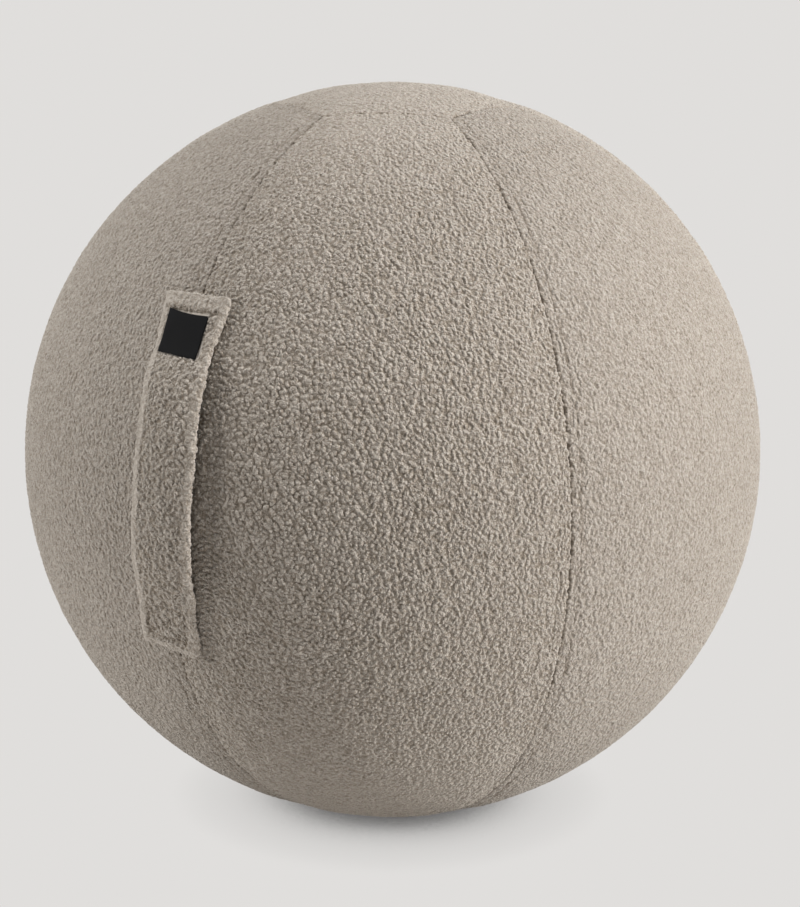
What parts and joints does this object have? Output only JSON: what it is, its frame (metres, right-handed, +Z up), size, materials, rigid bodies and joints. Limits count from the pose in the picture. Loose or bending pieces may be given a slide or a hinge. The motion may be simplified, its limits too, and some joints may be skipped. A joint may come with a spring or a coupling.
{
  "type": "sitting ball",
  "caption": "Round inflated seat ball in a zipped boucle fabric cover sewn from gores and hexagonal caps, with a flat carrying strap on one seam, a bare woven label and a bladder inside.",
  "frame": {"origin": "centre of the flat foot on which the ball stands", "axes": "+Z up, -Y out through the seam that carries the strap, +Y out through the seam that carries the zip"},
  "size_m": [0.65, 0.6682, 0.6461],
  "materials": {
    "cover": "curly boucle pile, greige",
    "strap": "the cover's boucle, folded and sewn flat",
    "label": "black woven tape, bare",
    "zip_tape": "woven tape with moulded teeth of the same colour",
    "zip_metal": "satin die-cast",
    "bladder": "satin vinyl",
    "valve": "moulded white plastic"
  },
  "bodies": {
    "ball": {"cover_top_cap": "cover", "cover_bottom_cap": "cover", "cover_panel_1": "cover", "cover_panel_2": "cover", "cover_panel_3": "cover", "cover_panel_4": "cover", "cover_panel_5": "cover", "cover_panel_6": "cover", "zip_tape_left": "zip_tape", "zip_tape_right": "zip_tape", "zip_top_stop_left": "zip_metal", "zip_top_stop_right": "zip_metal", "zip_bottom_stop": "zip_metal", "bladder": "bladder", "valve_plug": "valve"},
    "handle": {"handle_strap": "strap", "woven_label": "label"},
    "slider": {"zip_slider": "zip_metal"},
    "pull": {"zip_pull": "zip_metal"}
  },
  "joints": [
    {"name": "handle_lift", "type": "slide", "parent": "ball", "child": "handle", "axis": [0, -0.9917, 0.1289], "range_m": [0, 0.025], "stiffness_N_per_m": 300},
    {"name": "zip_run", "type": "hinge", "parent": "ball", "child": "slider", "pos_m": [0, 0, 0.32113], "axis": [-1, 0, 0], "range_deg": [0, 53.5]},
    {"name": "pull_swing", "type": "hinge", "parent": "slider", "child": "pull", "pos_m": [0, 0.32539, 0.3434], "axis": [1, 0, 0], "range_deg": [0, 150]}
  ]
}
